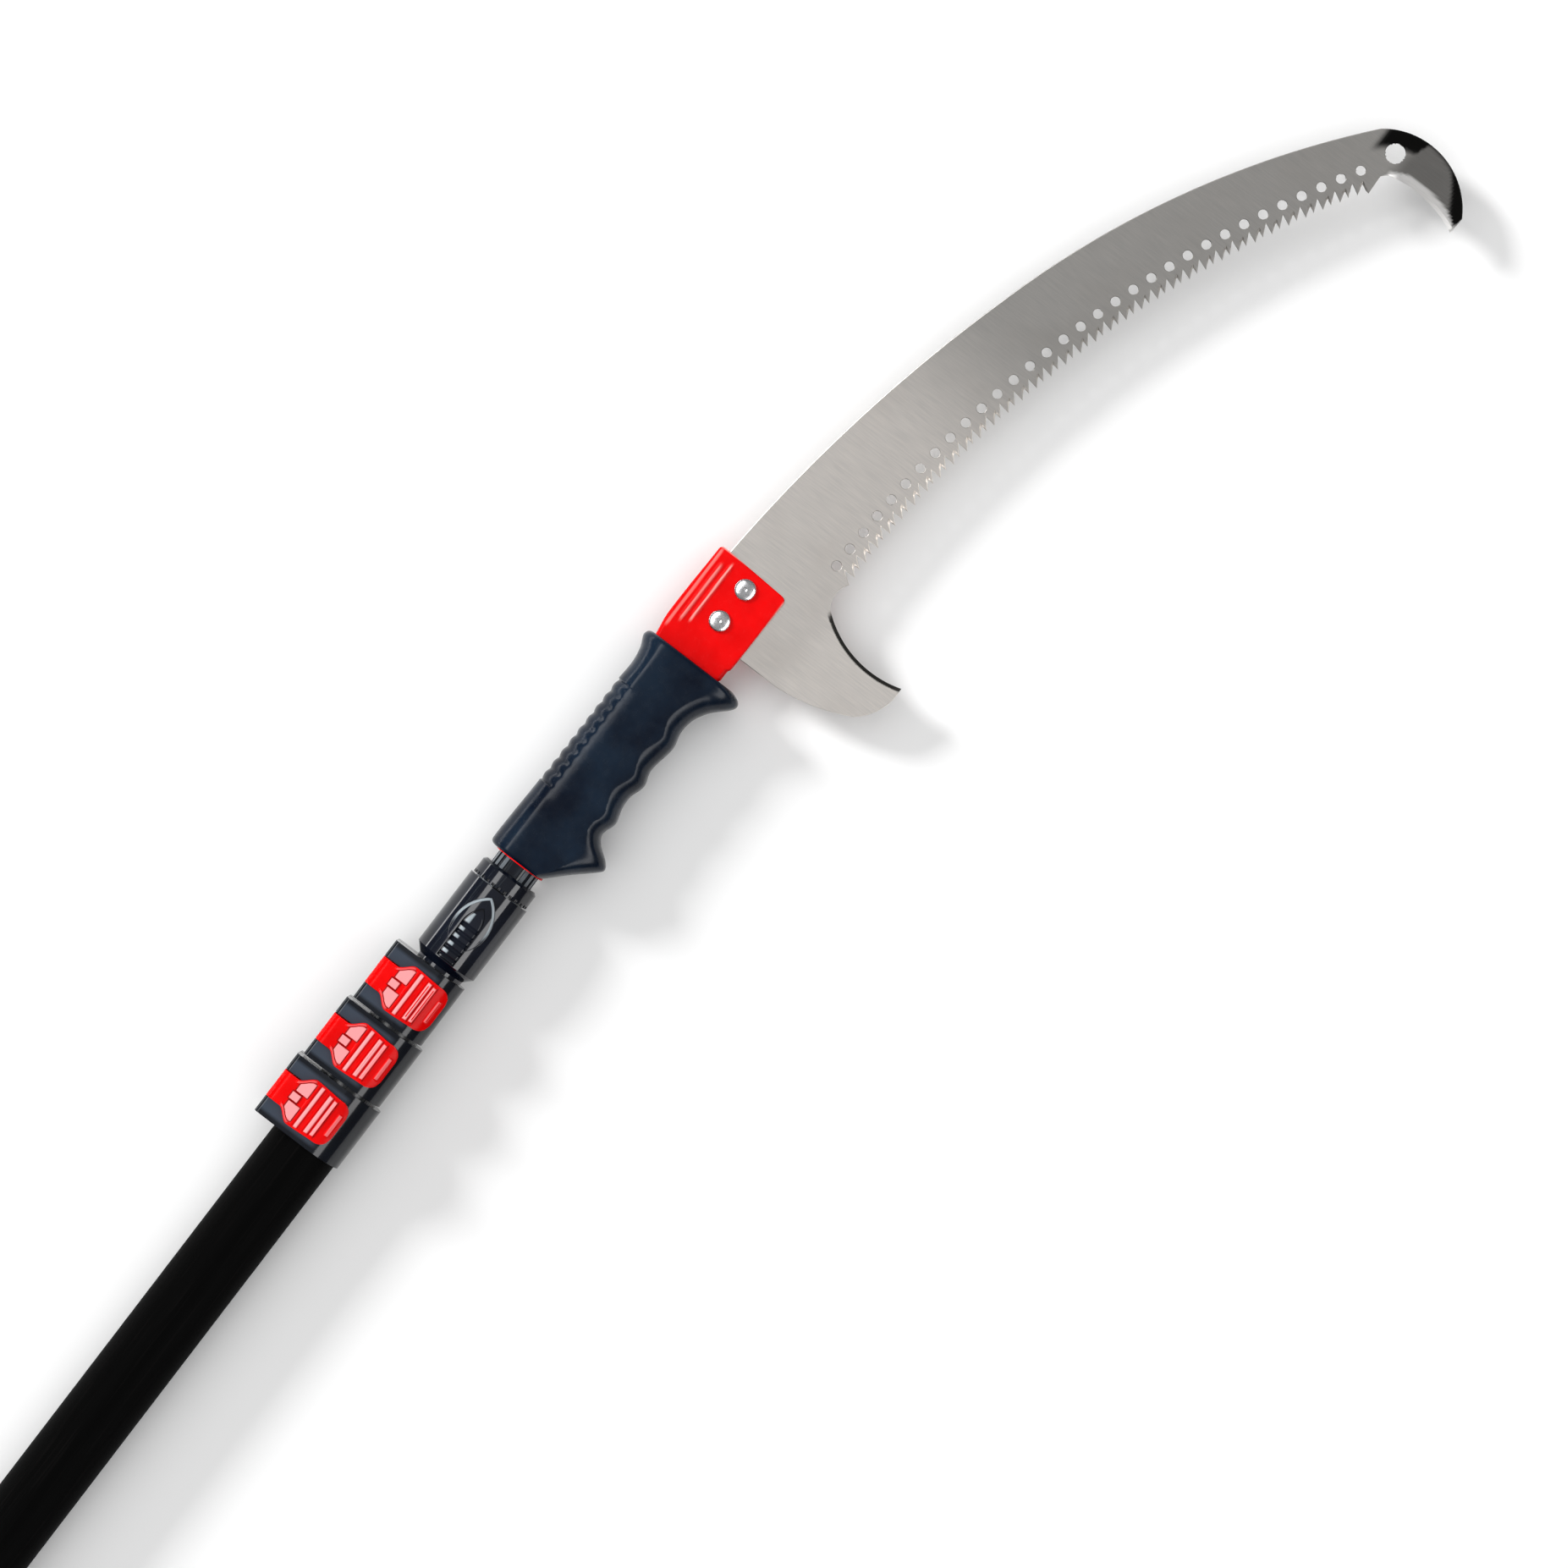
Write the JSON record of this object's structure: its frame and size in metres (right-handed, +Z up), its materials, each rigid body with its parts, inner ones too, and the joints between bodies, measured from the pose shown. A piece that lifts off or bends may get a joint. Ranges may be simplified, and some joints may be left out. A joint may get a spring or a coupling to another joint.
{
  "type": "telescoping pole saw",
  "caption": "Telescoping pole with cam-lever clamps, a push-button coupler and a pistol-grip saw head whose curved, hooked blade has pull-cut teeth.",
  "frame": {"origin": "middle of the butt end's flat face, on the pole's axis", "axes": "+X along the pole towards the blade, +Z up from the side with the clamp levers as the tool lies flat, teeth and hooks towards -Y"},
  "size_m": [1.854, 0.2178, 0.0471],
  "materials": {
    "cap_rubber": "matte moulded rubber",
    "tube_black": "black anodised aluminium tube, satin",
    "bush_acetal": "natural acetal",
    "nylon_black": "glossy black moulded nylon",
    "lever_red": "glossy red moulded nylon",
    "hardware_steel": "zinc-plated steel",
    "grip_black": "semi-gloss black moulded plastic",
    "head_red": "glossy red powder coat",
    "blade_steel": "satin steel",
    "rivet_zinc": "bright zinc"
  },
  "bodies": {
    "base": {"butt_cap": "cap_rubber", "base_tube": "tube_black", "lower_collar": "nylon_black", "lower_clamp_bolt": "hardware_steel", "lower_lever_pin": "hardware_steel", "lower_collar_rivet": "hardware_steel"},
    "lower_lever": {"lower_lever": "lever_red"},
    "section_2": {"tube_2": "tube_black", "guide_bush_2": "bush_acetal", "middle_collar": "nylon_black", "middle_clamp_bolt": "hardware_steel", "middle_lever_pin": "hardware_steel", "middle_collar_rivet": "hardware_steel"},
    "middle_lever": {"middle_lever": "lever_red"},
    "section_3": {"tube_3": "tube_black", "guide_bush_3": "bush_acetal", "upper_collar": "nylon_black", "upper_clamp_bolt": "hardware_steel", "upper_lever_pin": "hardware_steel", "upper_collar_rivet": "hardware_steel"},
    "upper_lever": {"upper_lever": "lever_red"},
    "section_4": {"tube_4": "tube_black", "guide_bush_4": "bush_acetal", "tip_core": "nylon_black", "coupler_pin": "hardware_steel", "coupler_sleeve": "nylon_black", "button_spring": "hardware_steel", "nose_ring": "nylon_black", "grip": "grip_black", "head_tube": "head_red", "saw_blade": "blade_steel", "blade_rivets": "rivet_zinc"},
    "release_button": {"release_button": "nylon_black"}
  },
  "joints": [
    {"name": "lower_lever_hinge", "type": "hinge", "parent": "base", "child": "lower_lever", "pos_m": [1.1015, 0.0263, 0.0165], "axis": [-1, 0, 0], "range_deg": [0, 115]},
    {"name": "section_2_slide", "type": "slide", "parent": "base", "child": "section_2", "axis": [1, 0, 0], "range_m": [0, 1.034]},
    {"name": "middle_lever_hinge", "type": "hinge", "parent": "section_2", "child": "middle_lever", "pos_m": [1.1402, 0.02385, 0.0145], "axis": [-1, 0, 0], "range_deg": [0, 115]},
    {"name": "section_3_slide", "type": "slide", "parent": "section_2", "child": "section_3", "axis": [1, 0, 0], "range_m": [0, 0.9907]},
    {"name": "upper_lever_hinge", "type": "hinge", "parent": "section_3", "child": "upper_lever", "pos_m": [1.1789, 0.0214, 0.0125], "axis": [-1, 0, 0], "range_deg": [0, 115]},
    {"name": "section_4_slide", "type": "slide", "parent": "section_3", "child": "section_4", "axis": [1, 0, 0], "range_m": [0, 0.9474]},
    {"name": "release_button_press", "type": "slide", "parent": "section_4", "child": "release_button", "axis": [0, 0, -1], "range_m": [0, 0.002], "stiffness_N_per_m": 2000, "springref_m": -0.002, "deforming": ["button_spring"]}
  ]
}
